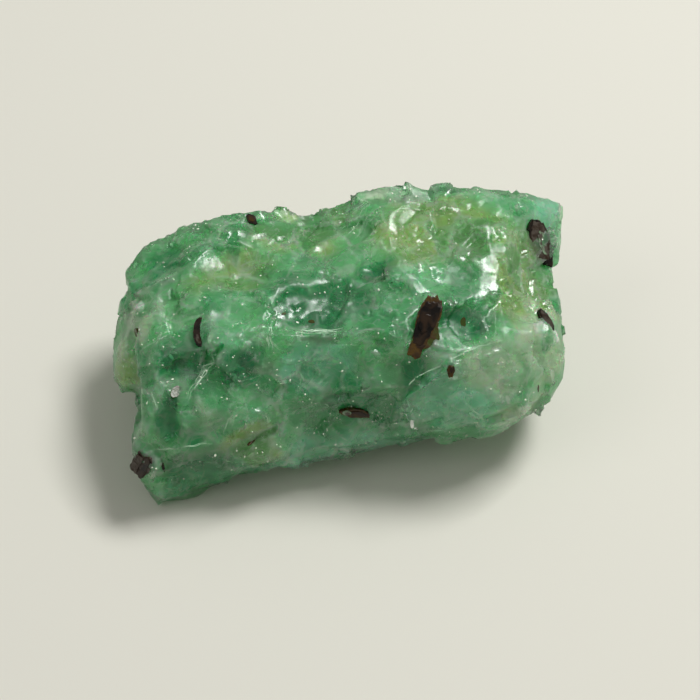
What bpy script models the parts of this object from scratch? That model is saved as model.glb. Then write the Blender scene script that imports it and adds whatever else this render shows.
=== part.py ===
"""A raw emerald: a broken length of a green beryl prism, lying on its side, with black mica grown into it.

The row frame is in metres, +Z up. X runs along the old prism, Y from the front to the back, and the stone
rests on Z = 0, with the origin under the middle of its bounding box. The body is lofted through
cross-sections like a hull, gets the blocks that stand proud of it, and is then broken down by the curved
fractures that gave the real one its form. Each mica flake is a layered plate in a pocket of its own shape.
"""

import math
import random

import bmesh
import bpy
from mathutils import Matrix, Vector, noise
from mathutils.kdtree import KDTree

MM = 0.001  # every size below is in millimetres, and is scaled by this where it meets Blender

# ---- the stone's form

# Cross-sections: the place along X, then (y, z) from the front foot, low front, mid front, ridge and mid
# top to the back top edge, mid back, back foot and keel. The feet reach below the flat that it rests on.
SECTIONS = {
    -10.7: [(-4.6, 0.1), (-4.9, 2.2), (-4.0, 4.7), (-2.2, 6.2), (1.2, 6.9),
            (5.2, 6.6), (5.7, 4.0), (3.5, 0.7), (-1.0, -0.2)],
    -9.0: [(-4.8, -0.3), (-5.3, 2.2), (-4.6, 5.4), (-2.2, 7.7), (2.0, 7.9),
           (6.7, 7.85), (6.9, 4.0), (3.5, -0.6), (-1.0, -0.6)],
    -6.5: [(-4.8, 0.9), (-5.2, 2.6), (-4.3, 6.2), (-2.1, 8.6), (2.5, 8.8),
           (6.9, 8.3), (7.0, 4.0), (3.5, -0.6), (-1.0, -0.6)],
    -4.2: [(-4.9, 1.6), (-5.2, 3.4), (-4.2, 6.6), (-2.2, 8.9), (2.5, 9.0),
           (6.9, 8.75), (7.1, 4.5), (3.5, -0.6), (-1.0, -0.6)],
    -1.4: [(-4.9, 1.7), (-5.2, 3.2), (-4.3, 6.7), (-2.6, 9.1), (2.0, 9.1),
           (5.9, 8.6), (6.4, 4.5), (3.2, -0.6), (-1.0, -0.6)],
    1.0: [(-4.9, 1.7), (-5.2, 3.4), (-4.6, 6.8), (-3.0, 9.2), (2.0, 9.3),
          (6.1, 9.25), (6.4, 4.5), (3.2, -0.6), (-1.0, -0.6)],
    3.6: [(-4.8, 2.1), (-5.4, 3.6), (-4.9, 6.8), (-3.6, 9.0), (2.0, 9.7),
          (6.2, 9.7), (6.4, 4.5), (3.2, -0.6), (-1.0, -0.5)],
    6.8: [(-4.6, 2.3), (-5.4, 3.8), (-5.1, 6.6), (-3.8, 8.6), (1.5, 9.5),
          (5.7, 9.2), (6.2, 4.5), (3.2, -0.5), (-0.8, -0.3)],
    9.0: [(-3.9, 2.8), (-4.6, 4.2), (-4.4, 6.3), (-3.4, 7.9), (1.0, 8.8),
          (5.4, 9.1), (6.0, 4.5), (3.2, 0.9), (-0.6, 1.1)],
    10.2: [(-2.4, 2.9), (-3.2, 3.9), (-3.0, 5.4), (-1.6, 6.5), (1.4, 7.6),
           (5.0, 8.4), (5.4, 4.6), (3.2, 1.8), (-0.2, 1.9)],
    10.7: [(-1.2, 3.3), (-1.6, 4.0), (-1.2, 4.9), (0.2, 5.4), (1.8, 6.0),
           (3.6, 6.6), (4.0, 4.5), (2.6, 2.8), (0.6, 2.7)],
}

# Blocks that stand proud of the loft, each the hull of its corners.
BLOCKS = {
    "left knob": [
        (-11.25, 3.9, 6.0), (-11.2, 4.6, 4.4), (-11.55, 2.9, 5.0), (-11.8, 1.4, 4.2), (-11.75, 1.6, 3.1),
        (-11.75, 0.1, 2.8), (-11.3, -0.3, 3.3), (-11.3, 0.1, 5.4), (-10.6, 0.6, 6.9), (-9.3, 4.4, 6.4),
        (-9.3, -0.6, 6.6), (-9.3, 0.4, 2.4), (-9.3, 4.0, 3.0),
    ],
    "front left foot": [
        (-11.05, -1.8, 3.5), (-11.15, -2.8, 3.9), (-11.45, -4.4, 3.0), (-11.4, -4.8, 3.7),
        (-11.1, -3.9, 4.3), (-10.95, -4.6, 0.8), (-10.4, -5.0, 0.2), (-10.2, -5.3, 3.6),
        (-9.4, -5.2, 1.0), (-9.4, -1.6, 4.4), (-9.4, -1.6, 1.0),
    ],
    "right corner": [
        (11.8, 5.3, 7.6), (12.1, 6.2, 6.4), (12.0, 5.7, 5.2), (11.5, 4.2, 5.9), (11.35, 3.0, 5.2),
        (10.9, 4.4, 8.1), (10.3, 5.4, 8.5), (10.4, 6.2, 5.6), (9.4, 5.6, 8.6), (9.4, 5.6, 5.0),
        (9.4, 2.8, 4.8), (9.8, 2.8, 7.2),
    ],
}

# The smooth milky lobe low on the right, which parted along its own curved face and so kept its edges.
LOBE = [
    (1.45, -5.1, 5.7), (1.95, -5.1, 6.45), (2.95, -5.0, 7.25), (3.85, -4.75, 7.85), (5.4, -4.5, 7.9),
    (6.4, -4.25, 8.1), (8.2, -4.25, 7.1), (9.2, -4.6, 4.6), (8.5, -4.8, 3.3), (6.4, -5.3, 2.8),
    (3.7, -5.1, 2.3), (2.0, -5.3, 4.3), (4.0, -5.7, 5.2), (6.0, -5.9, 5.3), (7.6, -5.6, 5.2),
    (2.6, -3.6, 5.5), (8.2, -3.2, 5.0), (5.0, -2.8, 7.0), (5.5, -3.4, 3.6),
]

GRAIN = 0.20  # spacing of the points that the fractures are carved into
TRIANGLES = 7000  # what the carved body is thinned to, before the lobe and the pockets
LUMPS = ((3.2, 0.20), (1.4, 0.10))  # size across and height of the body's natural unevenness

# ---- the fractures

# The flakes that came off all over: how many, and the ranges of their width, depth and tilt.
SPALLS = 84
SPALL_WIDTH = (1.8, 4.2)
SPALL_DEPTH = (0.14, 0.28)
SPALL_TILT = 12.0  # degrees between a spall's own direction and the surface under it
SPALL_BOX = ((-9.4, 9.4), (-6.5, 6.5), (1.2, 9.5))  # where they fall; the ends and the foot keep their form
SPALL_SEED = 11

# The larger ones: where each struck, which way it faces as (azimuth, elevation) in degrees, its width,
# length and depth, how far it is turned in its own plane, and where in it the ripples start.
FRACTURES = {
    # the left end and the top left
    "smooth facet": ((-8.9, 3.8, 7.8), (-140, 62), 5.0, 3.6, 0.30, 20, (0.0, 0.6)),
    "upper left bowl": ((-5.3, 2.7, 8.6), (-20, 80), 5.0, 2.6, 0.40, 12, (0.3, 0.5)),
    "back edge bevel": ((-6.6, 6.7, 8.0), (176, 38), 8.4, 1.6, 0.20, 4, (0.0, 0.0)),
    "left hollow": ((-8.4, -2.4, 7.6), (-30, 40), 3.0, 2.2, 0.40, 10, (0.4, 0.0)),
    # the front, from left to right
    "dark groove": ((-9.3, -4.1, 5.8), (-30, 30), 1.2, 3.0, 0.35, 8, (0.0, 0.3)),
    "swirl": ((-8.0, -4.75, 5.4), (10, 16), 3.0, 2.8, 0.35, 0, (-0.2, 0.3)),
    "lower left facet": ((-8.7, -5.3, 2.2), (4, 2), 5.6, 3.0, 0.35, -6, (0.5, 0.5)),
    "veil hollow": ((-5.1, -3.8, 7.0), (10, 36), 3.4, 4.2, 0.45, 12, (-0.3, 0.6)),
    "fan": ((-2.1, -3.6, 7.5), (-14, 38), 4.4, 4.4, 0.50, -8, (-0.5, 0.6)),
    "low middle bowl": ((-3.2, -4.95, 4.4), (10, 4), 4.0, 3.2, 0.30, 0, (0.4, -0.4)),
    "below the cluster": ((0.0, -5.0, 4.2), (-8, 18), 3.6, 3.4, 0.40, 0, (0.0, 0.5)),
    "lobe corner": ((1.9, -4.4, 7.5), (-20, 32), 2.6, 3.0, 0.45, -20, (0.4, 0.4)),
    "undercut": ((0.6, -4.9, 2.5), (2, -34), 7.0, 2.0, 0.30, 0, (0.0, 0.4)),
    # the top, from left to right
    "dark bowl": ((-1.6, -0.3, 9.0), (10, 70), 5.0, 3.4, 0.50, 8, (-0.4, 0.4)),
    "saddle": ((-1.2, 4.6, 8.7), (170, 76), 4.2, 2.8, 0.35, -12, (0.2, 0.2)),
    "glint groove": ((0.9, 3.6, 9.1), (-110, 66), 2.0, 3.8, 0.40, 38, (0.0, 0.5)),
    "top middle": ((3.4, 3.2, 9.5), (40, 80), 4.2, 3.0, 0.30, 0, (-0.4, 0.3)),
    "dark spot": ((1.3, 0.8, 9.3), (-20, 66), 1.8, 0.9, 0.25, 0, (0.0, 0.0)),
    "top right bowl": ((5.9, 2.4, 9.5), (-40, 76), 3.6, 3.0, 0.30, 0, (0.3, 0.3)),
    "beside the flake": ((5.2, -2.4, 9.0), (-4, 56), 3.2, 3.2, 0.45, 0, (0.2, 0.5)),
    # the right end
    "right face": ((8.8, -0.4, 8.5), (60, 62), 6.0, 4.0, 0.35, 10, (0.5, 0.0)),
    "flake seat": ((10.1, 2.6, 7.7), (44, 40), 3.0, 3.2, 0.20, 0, (0.0, 0.0)),
    "right nick": ((10.8, 1.3, 5.2), (86, 16), 1.6, 2.0, 0.35, 0, (0.0, 0.4)),
    # the back
    "back left": ((-7.2, 6.9, 4.2), (184, 8), 6.6, 5.0, 0.50, 8, (0.4, 0.5)),
    "back middle": ((-1.2, 6.4, 4.8), (170, 0), 6.2, 5.4, 0.50, -12, (-0.4, 0.5)),
    "back right": ((4.6, 6.3, 6.0), (184, 12), 6.0, 4.6, 0.45, 10, (0.3, 0.6)),
    "back low": ((2.0, 4.9, 2.0), (178, -36), 7.5, 3.4, 0.45, 0, (0.2, -0.4)),
}
FRACTURE_REACH = 2.2  # how far out a fracture's curve is followed, in half widths
RIPPLES = 3.2  # how many ripples a blow leaves over one half width
RIPPLE_HEIGHT = 0.06  # their height, as a part of the fracture's depth
WARP = 0.22  # how far noise bends a fracture, in half widths, so that no rim is a true ellipse
WARP_SIZE = 1.8  # the size across of that noise
WARP_SEED = 1

# The chips along the edges: the line that they follow, how many fall on it, and which way they face.
CHIPPED_EDGES = {
    "front ridge": ([(-8.0, -2.2, 8.1), (-4.2, -2.2, 8.9), (1.0, -3.0, 9.2), (6.8, -3.8, 8.6)], 9, (0, 62)),
    "back edge": ([(-9.0, 6.9, 7.8), (-4.2, 7.1, 8.8), (1.0, 6.3, 9.25), (9.0, 5.8, 9.3)], 7, (180, 50)),
    "front foot": ([(-6.5, -4.9, 1.4), (-1.4, -4.95, 1.9), (3.6, -5.0, 2.4), (8.4, -4.5, 3.0)], 7, (0, -25)),
    "left end": ([(-10.7, -4.3, 4.7), (-10.8, -2.2, 6.2), (-10.8, 4.0, 6.8)], 5, (-80, 45)),
    "right end": ([(10.4, -2.4, 5.6), (10.5, 1.0, 7.0), (10.8, 4.0, 7.4)], 5, (80, 40)),
}
CHIP_WIDTH = (0.8, 1.7)
CHIP_DEPTH = (0.15, 0.30)
CHIP_SEED = 5

# ---- the mica: where each flake lies, which way it faces, its length, width and thickness, how far it is
# turned in its own plane, and how far it bends sideways along its length.
FLAKES = {
    "mica_large": ((3.10, -2.80, 8.80), (-1, 59), 3.2, 1.15, 0.60, -27, 0.08),
    "mica_right_end": ((10.05, 2.72, 7.60), (44, 40), 2.6, 1.5, 0.45, -6, 0.15),
    "mica_left_corner": ((-10.95, -4.75, 3.30), (-42, 16), 1.5, 1.05, 0.50, -18, 0.0),
    "mica_curved": ((-7.25, -1.05, 8.26), (-45, 78), 1.6, 0.42, 0.40, 40, -0.22),
    "mica_right_edge": ((9.20, -2.35, 7.60), (50, 55), 1.3, 0.50, 0.40, -8, 0.1),
    "mica_back_edge": ((-4.08, 5.70, 8.50), (0, 76), 0.8, 0.55, 0.35, 30, 0.0),
    "mica_speck": ((4.08, -4.86, 7.68), (5, 28), 0.65, 0.45, 0.35, -10, 0.0),
    "mica_cluster": ((-0.50, -4.48, 4.60), (-2, 14), 1.7, 0.70, 0.40, 72, 0.2),
}
FLAKE_PROUD = 0.06  # how far a flake's face stands out of the stone round it
FLAKE_POINTS = 12  # points round a flake's outline
# A flake's ledges from its foot to its face: the scale of the outline, and the height in thicknesses.
FLAKE_LEDGES = ((0.80, -1.0), (1.0, -0.45), (0.94, -0.22), (0.80, 0.0))
POCKET_GAP = 0.10  # clearance round a flake in its pocket
POCKET_RISE = 1.5  # how far a pocket's tool reaches out past the stone

EMERALD_COLOUR = (0.13, 0.42, 0.24, 1.0)
EMERALD_ROUGHNESS = 0.25
MICA_COLOUR = (0.045, 0.032, 0.022, 1.0)
MICA_ROUGHNESS = 0.35


def clear_scene():
    for thing in list(bpy.data.objects):
        bpy.data.objects.remove(thing)


def add_object(name, form):
    """Links a new mesh object made from a bmesh, which is freed."""
    mesh = bpy.data.meshes.new(name)
    bmesh.ops.triangulate(form, faces=form.faces)
    bmesh.ops.recalc_face_normals(form, faces=form.faces)
    form.to_mesh(mesh)
    form.free()
    made = bpy.data.objects.new(name, mesh)
    bpy.context.scene.collection.objects.link(made)
    return made


def combine(target, operation, tool):
    """Adds or takes away a tool, then turns the result into plain mesh and removes the tool."""
    tool.hide_render = True
    tool.display_type = "WIRE"
    step = target.modifiers.new(tool.name, "BOOLEAN")
    step.operation = operation
    step.solver = "EXACT"
    step.object = tool
    settle(target)
    bpy.data.objects.remove(tool)


def settle(target):
    """Turns an object's live modifiers into plain mesh."""
    evaluated = target.evaluated_get(bpy.context.evaluated_depsgraph_get())
    mesh = bpy.data.meshes.new_from_object(evaluated)
    target.modifiers.clear()
    target.data = mesh


def facing_frame(at, facing, turn=0.0):
    """A matrix in mm whose origin is at a point and whose +Z points outward; azimuth 0 is the front."""
    a, e = math.radians(facing[0]), math.radians(facing[1])
    out = Vector((math.sin(a) * math.cos(e), -math.cos(a) * math.cos(e), math.sin(e)))
    side = Vector((math.cos(a), math.sin(a), 0.0))
    axes = Matrix((side, out.cross(side), out)).transposed().to_4x4()
    return Matrix.Translation(Vector(at)) @ axes @ Matrix.Rotation(math.radians(turn), 4, "Z")


def skin_over(form, rings):
    """Joins rings of points with faces, and closes both ends with a fan."""
    count = len(rings[0])
    for near, far in zip(rings, rings[1:]):
        for i in range(count):
            j = (i + 1) % count
            form.faces.new((near[i], near[j], far[j], far[i]))
    for ring in (rings[0], rings[-1]):
        centre = form.verts.new(sum((v.co for v in ring), Vector()) / count)
        for i in range(count):
            form.faces.new((ring[i], ring[(i + 1) % count], centre))


def lofted_body():
    """The stone before it broke."""
    form = bmesh.new()
    skin_over(form, [[form.verts.new(Vector((x, y, z)) * MM) for y, z in outline]
                     for x, outline in SECTIONS.items()])
    return add_object("emerald", form)


def block(name, corners):
    form = bmesh.new()
    for corner in corners:
        form.verts.new(Vector(corner) * MM)
    made = bmesh.ops.convex_hull(form, input=form.verts)
    bmesh.ops.delete(form, geom=made["geom_interior"], context="VERTS")
    return add_object(name, form)


def below_rest():
    """A box that holds everything under the flat that the stone rests on."""
    form = bmesh.new()
    bmesh.ops.create_cube(form, size=60.0 * MM, matrix=Matrix.Translation((0.0, 0.0, -30.0 * MM)))
    return add_object("below rest", form)


def respace(target):
    """Gives a body evenly spaced points, fine enough to carve, in an order that is the same each time."""
    step = target.modifiers.new("even points", "REMESH")
    step.mode = "VOXEL"
    step.voxel_size = GRAIN * MM
    settle(target)
    form = bmesh.new()
    form.from_mesh(target.data)
    for elements, middle in ((form.verts, lambda v: v.co), (form.faces, lambda f: f.calc_center_median()),
                             (form.edges, lambda e: e.verts[0].co + e.verts[1].co)):
        for number, element in enumerate(sorted(elements, key=lambda one: place_key(middle(one)))):
            element.index = number
        elements.sort()
    form.to_mesh(target.data)
    form.free()


def place_key(spot):
    """A place as numbers that sort the same way each time, to the nearest hundredth of a millimetre."""
    return tuple(round(part / MM, 2) for part in spot)


def thin(target, triangles):
    """Takes points away where the surface is plain, and keeps them along its ridges."""
    step = target.modifiers.new("thinned", "DECIMATE")
    step.ratio = triangles / (2 * len(target.data.polygons))
    settle(target)


def point_normals(mesh):
    """The direction of the surface at each point, summed in a fixed order so that it is the same each time."""
    normals = [Vector() for _ in mesh.vertices]
    for face in mesh.polygons:
        for i in face.vertices:
            normals[i] += face.normal * face.area
    return [normal.normalized() for normal in normals]


def raise_lumps(points, normals):
    """Moves the points along their normals by smooth noise."""
    for point, normal in zip(points, normals):
        point += normal * sum(height * noise.noise(point / size) for size, height in LUMPS)


def bowl(x, y, depth, strike):
    """Height of a conchoidal fracture over its own plane: a shallow bowl with rings round the blow."""
    from_middle = math.hypot(x, y)
    from_blow = math.hypot(x - strike[0], y - strike[1])
    ripple = RIPPLE_HEIGHT * depth * math.cos(2 * math.pi * RIPPLES * from_blow)
    return depth * (from_middle ** 2 - 1.0) + ripple * max(0.0, 1.0 - from_middle)


def carve(points, at, facing, width, length, depth, turn, strike):
    """Presses the points that stand above a fracture down onto it, along the way it faces."""
    place = facing_frame(at, facing, turn)
    to_local = place.inverted()
    out = place.to_3x3() @ Vector((0.0, 0.0, 1.0))
    furthest = FRACTURE_REACH * max(width, length) / 2
    for point in points:
        if (point - Vector(at)).length > furthest:
            continue
        local = to_local @ point
        bend = noise.noise_vector(point / WARP_SIZE) * WARP
        over = local.z - bowl(2 * local.x / width + bend.x, 2 * local.y / length + bend.y, depth, strike)
        if 0.0 < over < width:
            point -= out * over


def scattered(at, facing, widths, depths, chance):
    """The sizes of one small fracture, drawn from their ranges."""
    width = chance.uniform(*widths)
    strike = (chance.uniform(-0.8, 0.8), chance.uniform(-0.8, 0.8))
    return (at, facing, width, width * chance.uniform(0.7, 1.1), chance.uniform(*depths),
            chance.uniform(0, 180), strike)


def spalls(points, normals):
    """The small flakes that came off all over, at the points nearest to places drawn from a fixed seed."""
    chance = random.Random(SPALL_SEED)
    nearest = KDTree(len(points))
    for i, point in enumerate(points):
        nearest.insert(point, i)
    nearest.balance()
    made = []
    for _ in range(SPALLS):
        _, i, _ = nearest.find([chance.uniform(*ends) for ends in SPALL_BOX])
        azimuth = math.degrees(math.atan2(normals[i].x, -normals[i].y))
        elevation = math.degrees(math.asin(max(-1.0, min(1.0, normals[i].z))))
        facing = (azimuth + chance.uniform(-SPALL_TILT, SPALL_TILT),
                  elevation + chance.uniform(-SPALL_TILT, SPALL_TILT))
        made.append(scattered(points[i].copy(), facing, SPALL_WIDTH, SPALL_DEPTH, chance))
    return made


def chips():
    """The chips along the edges, spread evenly along each line and then nudged."""
    chance = random.Random(CHIP_SEED)
    made = []
    for corners, count, (azimuth, elevation) in CHIPPED_EDGES.values():
        for i in range(count):
            along = (i + chance.uniform(0.2, 0.8)) / count * (len(corners) - 1)
            near = Vector(corners[int(along)])
            at = near.lerp(Vector(corners[int(along) + 1]), along - int(along))
            facing = (azimuth + chance.uniform(-25, 25), elevation + chance.uniform(-25, 25))
            made.append(scattered(at, facing, CHIP_WIDTH, CHIP_DEPTH, chance))
    return made


def break_down(target):
    """Raises the body's lumps, then takes the spalls, the larger fractures and the chips out of it."""
    noise.seed_set(WARP_SEED)
    points = [v.co / MM for v in target.data.vertices]
    normals = point_normals(target.data)
    raise_lumps(points, normals)
    for sizes in spalls(points, normals) + list(FRACTURES.values()) + chips():
        carve(points, *sizes)
    for v, point in zip(target.data.vertices, points):
        v.co = point * MM


def plate(name, sizes, ledges, grow):
    """A stack of ledges round an uneven outline, each ledge as (outline scale, height in mm)."""
    at, facing, length, width, _, turn, bend = sizes
    place = facing_frame(at, facing, turn)
    form = bmesh.new()
    rings = []
    for scale, height in ledges:
        ring = []
        for i in range(FLAKE_POINTS):
            angle = 2 * math.pi * i / FLAKE_POINTS
            spot = Vector((math.cos(angle), math.sin(angle), 0.0))
            reach = scale * (1.0 + 0.22 * noise.noise(Vector(at) + spot * 1.6))
            y = spot.y * (reach * length / 2 + grow)
            x = spot.x * (reach * width / 2 + grow) + bend * (1.0 - (2 * y / length) ** 2)
            ring.append(form.verts.new(place @ Vector((x, y, height)) * MM))
        rings.append(ring)
    skin_over(form, rings)
    return add_object(name, form)


def flake(name, sizes):
    thickness = sizes[4]
    return plate(name, sizes, [(scale, FLAKE_PROUD + part * thickness) for scale, part in FLAKE_LEDGES], 0.0)


def pocket(name, sizes):
    """The tool for a flake's pocket: as wide as the flake's widest ledge all the way out, plus the gap."""
    (foot, foot_part), (widest, widest_part) = FLAKE_LEDGES[:2]
    thickness = sizes[4]
    ledges = [(foot, FLAKE_PROUD + foot_part * thickness - POCKET_GAP),
              (widest, FLAKE_PROUD + widest_part * thickness), (widest, POCKET_RISE)]
    return plate(name + " pocket", sizes, ledges, POCKET_GAP)


def finish(target, colour, roughness):
    """Gives an object its own material."""
    skin = bpy.data.materials.new(target.name)
    skin.use_nodes = True
    shader = skin.node_tree.nodes["Principled BSDF"]
    shader.inputs["Base Color"].default_value = colour
    shader.inputs["Roughness"].default_value = roughness
    shader.inputs["Metallic"].default_value = 0.0
    target.data.materials.clear()
    target.data.materials.append(skin)


def centre_on_floor(things):
    """Moves the meshes so that the bounding box round them all stands centred over the origin."""
    spots = [v.co for thing in things for v in thing.data.vertices]
    low = Vector([min(spot[i] for spot in spots) for i in range(3)])
    high = Vector([max(spot[i] for spot in spots) for i in range(3)])
    shift = Vector((-(low.x + high.x) / 2, -(low.y + high.y) / 2, -low.z))
    for thing in things:
        thing.data.transform(Matrix.Translation(shift))


clear_scene()
emerald = lofted_body()
for block_name, corners in BLOCKS.items():
    combine(emerald, "UNION", block(block_name, corners))
respace(emerald)
break_down(emerald)
thin(emerald, TRIANGLES)
combine(emerald, "UNION", block("lobe", LOBE))
combine(emerald, "DIFFERENCE", below_rest())

flakes = []
for flake_name, sizes in FLAKES.items():
    combine(emerald, "DIFFERENCE", pocket(flake_name, sizes))
    flakes.append(flake(flake_name, sizes))

finish(emerald, EMERALD_COLOUR, EMERALD_ROUGHNESS)
for mica in flakes:
    finish(mica, MICA_COLOUR, MICA_ROUGHNESS)
centre_on_floor([emerald] + flakes)
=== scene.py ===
"""A raw emerald: the broken beryl with its mica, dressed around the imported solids.

Sizes are in millimetres in the part's own frame, and MM takes them to metres. X runs along the old prism,
Y from the front to the back, and the stone rests on Z = 0.
"""

import math
import random

import bmesh
import bpy
import numpy as np
from mathutils import Matrix, Vector, noise
from mathutils.bvhtree import BVHTree


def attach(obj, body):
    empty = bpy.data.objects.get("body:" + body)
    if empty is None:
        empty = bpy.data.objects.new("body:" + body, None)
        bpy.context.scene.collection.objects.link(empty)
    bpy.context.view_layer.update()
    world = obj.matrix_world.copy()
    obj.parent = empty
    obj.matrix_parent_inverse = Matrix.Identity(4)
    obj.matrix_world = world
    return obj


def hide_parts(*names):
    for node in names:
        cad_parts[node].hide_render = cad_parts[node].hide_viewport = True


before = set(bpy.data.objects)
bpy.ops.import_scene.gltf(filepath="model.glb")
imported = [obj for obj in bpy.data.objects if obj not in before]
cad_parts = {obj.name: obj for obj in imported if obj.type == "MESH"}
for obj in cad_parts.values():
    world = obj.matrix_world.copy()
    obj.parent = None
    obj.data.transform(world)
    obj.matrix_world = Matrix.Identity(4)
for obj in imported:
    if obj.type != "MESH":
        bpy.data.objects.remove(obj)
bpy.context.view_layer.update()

# ---- The pockets' filling
# The solids keep each mica flake in a pocket with a gap round it. In the real stone the beryl grew tight
# round the mica, so a plug of beryl closes each pocket from just under the flake's face.

MM = 0.001
MICA_NODES = [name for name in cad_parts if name.startswith("mica_")]
PLUG_SPREAD = 0.17  # how far a plug reaches past its flake, into the wall of the pocket
PLUG_SUNK = 0.10  # how far its face lies under the flake's face
CORE_HEIGHT = 4.6  # a flake faces away from a line this high, under the place
CORE_REACH = 0.7  # that lies this share of the way out along the stone


def points_of(node):
    """The corners of a CAD node, in mm."""
    return np.array([v.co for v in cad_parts[node].data.vertices], float) / MM


def seat_of(node):
    """Where a flake lies: a frame in mm with +Z outward, +Y along the flake and the origin on its face."""
    spots = points_of(node)
    middle = spots.mean(0)
    ways = np.linalg.eigh(np.cov((spots - middle).T))[1]
    out, side, along = (Vector(ways[:, i]) for i in range(3))
    if out.dot(Vector(middle) - Vector((middle[0] * CORE_REACH, 0.0, CORE_HEIGHT))) < 0:
        out = -out
    if along.y + along.z < 0:
        along = -along
    side = along.cross(out)
    turned = Matrix((side, along, out)).transposed()
    local = (spots - middle) @ np.array(turned)
    low, high = local.min(0), local.max(0)
    face = Vector(middle) + out * high[2]
    place = Matrix.Translation(face) @ turned.to_4x4()
    return place, (high - low)


def mesh_object(name, form):
    """Links a new mesh object made from a bmesh, which is freed."""
    mesh = bpy.data.meshes.new(name)
    form.to_mesh(mesh)
    form.free()
    made = bpy.data.objects.new(name, mesh)
    bpy.context.scene.collection.objects.link(made)
    return made


def add_plug(form, node):
    """Adds the filling of one flake's pocket: the flake itself, spread sideways and pushed down."""
    place, size = seat_of(node)
    back = place.inverted()
    shell = bmesh.new()
    shell.from_mesh(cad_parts[node].data)
    bmesh.ops.remove_doubles(shell, verts=shell.verts, dist=1e-7)
    for v in shell.verts:
        spot = back @ (v.co / MM)
        spot.x *= 1.0 + 2 * PLUG_SPREAD / size[0]
        spot.y *= 1.0 + 2 * PLUG_SPREAD / size[1]
        spot.z = spot.z * (1.0 + PLUG_SPREAD / size[2]) - PLUG_SUNK
        v.co = (place @ spot) * MM
    filled = bpy.data.meshes.new("plug")
    shell.to_mesh(filled)
    shell.free()
    form.from_mesh(filled)
    bpy.data.meshes.remove(filled)


# ---- The beryl
# Real: one length of a hexagonal beryl prism, coloured by chromium. It cleaves badly and breaks like glass,
# so its skin is all curved fracture faces with sharp edges, ripples and tiny steps.

GRAIN = 0.112  # spacing of the points on the finished skin
RIDGE_FULL = 0.05  # a spot this far above its smoothed place counts as a full ridge


def add_node(tree, kind, settings=(), inputs=()):
    """Adds a node, sets its properties, and then sets or links its inputs by name or number."""
    node = tree.nodes.new(kind)
    for name, value in dict(settings).items():
        setattr(node, name, value)
    for name, value in dict(inputs).items():
        if isinstance(value, bpy.types.NodeSocket):
            tree.links.new(value, node.inputs[name])
        else:
            node.inputs[name].default_value = value
    return node


def settled(thing):
    """Turns an object's live modifiers into plain mesh."""
    evaluated = thing.evaluated_get(bpy.context.evaluated_depsgraph_get())
    mesh = bpy.data.meshes.new_from_object(evaluated)
    thing.modifiers.clear()
    thing.data = mesh
    return thing


def whole_body():
    """The beryl node with its pockets filled, as one skin of evenly spaced points."""
    form = bmesh.new()
    form.from_mesh(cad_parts["emerald"].data)
    bmesh.ops.remove_doubles(form, verts=form.verts, dist=1e-7)
    for node in MICA_NODES:
        add_plug(form, node)
    body = mesh_object("beryl_body", form)
    even = body.modifiers.new("even points", "REMESH")
    even.mode = "VOXEL"
    even.voxel_size = GRAIN * MM
    return settled(body)


def maths(tree, operation, first, second=0.0, third=0.0):
    """A sum on up to three values."""
    inputs = {0: first, 1: second, 2: third}
    return add_node(tree, "ShaderNodeMath", {"operation": operation}, inputs).outputs[0]


def times(tree, first, second):
    """The product of two values."""
    return maths(tree, "MULTIPLY", first, second)


def vector(tree, operation, first, second=(0.0, 0.0, 0.0)):
    """A sum on one or two vectors; the second of SCALE is a value."""
    inputs = {0: first, 3: second} if operation == "SCALE" else {0: first, 1: second}
    made = add_node(tree, "ShaderNodeVectorMath", {"operation": operation}, inputs)
    return made.outputs[1 if operation in ("DOT_PRODUCT", "LENGTH", "DISTANCE") else 0]


def spread(tree, value, low, high, to_low=0.0, to_high=1.0):
    """The value with low..high taken to to_low..to_high, softly at both ends."""
    return add_node(tree, "ShaderNodeMapRange", {"interpolation_type": "SMOOTHSTEP"},
                    {"Value": value, "From Min": low, "From Max": high, "To Min": to_low,
                     "To Max": to_high}).outputs[0]


def scar(tree, place, feature, size, depth, tilt):
    """Height of one fracture scar: a tilted bowl round a seeded point, with a depth of its own."""
    cell = add_node(tree, "ShaderNodeTexVoronoi", {"voronoi_dimensions": "3D", "feature": feature},
                    {"Vector": place, "Scale": maths(tree, "DIVIDE", 1.0, size)})
    away = vector(tree, "SUBTRACT", place, cell.outputs["Position"])
    own = add_node(tree, "ShaderNodeSeparateXYZ", {}, {0: cell.outputs["Color"]}).outputs[0]
    lean = vector(tree, "SUBTRACT", cell.outputs["Color"], (0.5, 0.5, 0.5))
    slope = times(tree, vector(tree, "DOT_PRODUCT", away, lean), tilt)
    across = maths(tree, "DIVIDE", vector(tree, "LENGTH", away), size)
    bowl = maths(tree, "SUBTRACT", times(tree, across, across), 0.25)
    own = maths(tree, "MULTIPLY_ADD", own, 1.4, 0.2)
    return maths(tree, "ADD", times(tree, times(tree, bowl, own), depth), slope)


def scars(tree, place, size, depth, tilt):
    """Overlapping scars: at each spot the deeper of the two nearest ones."""
    return maths(tree, "MINIMUM", scar(tree, place, "F1", size, depth, tilt),
                 scar(tree, place, "F2", size, depth, tilt))


def new_geometry_tree(name, inputs):
    """A Geometry Nodes tree with the named inputs, and what its inputs give."""
    tree = bpy.data.node_groups.new(name, "GeometryNodeTree")
    tree.interface.new_socket(name="Geometry", in_out="INPUT", socket_type="NodeSocketGeometry")
    for socket, kind in inputs:
        tree.interface.new_socket(name=socket, in_out="INPUT", socket_type="NodeSocket" + kind)
    tree.interface.new_socket(name="Geometry", in_out="OUTPUT", socket_type="NodeSocketGeometry")
    return tree, tree.nodes.new("NodeGroupInput").outputs


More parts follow.
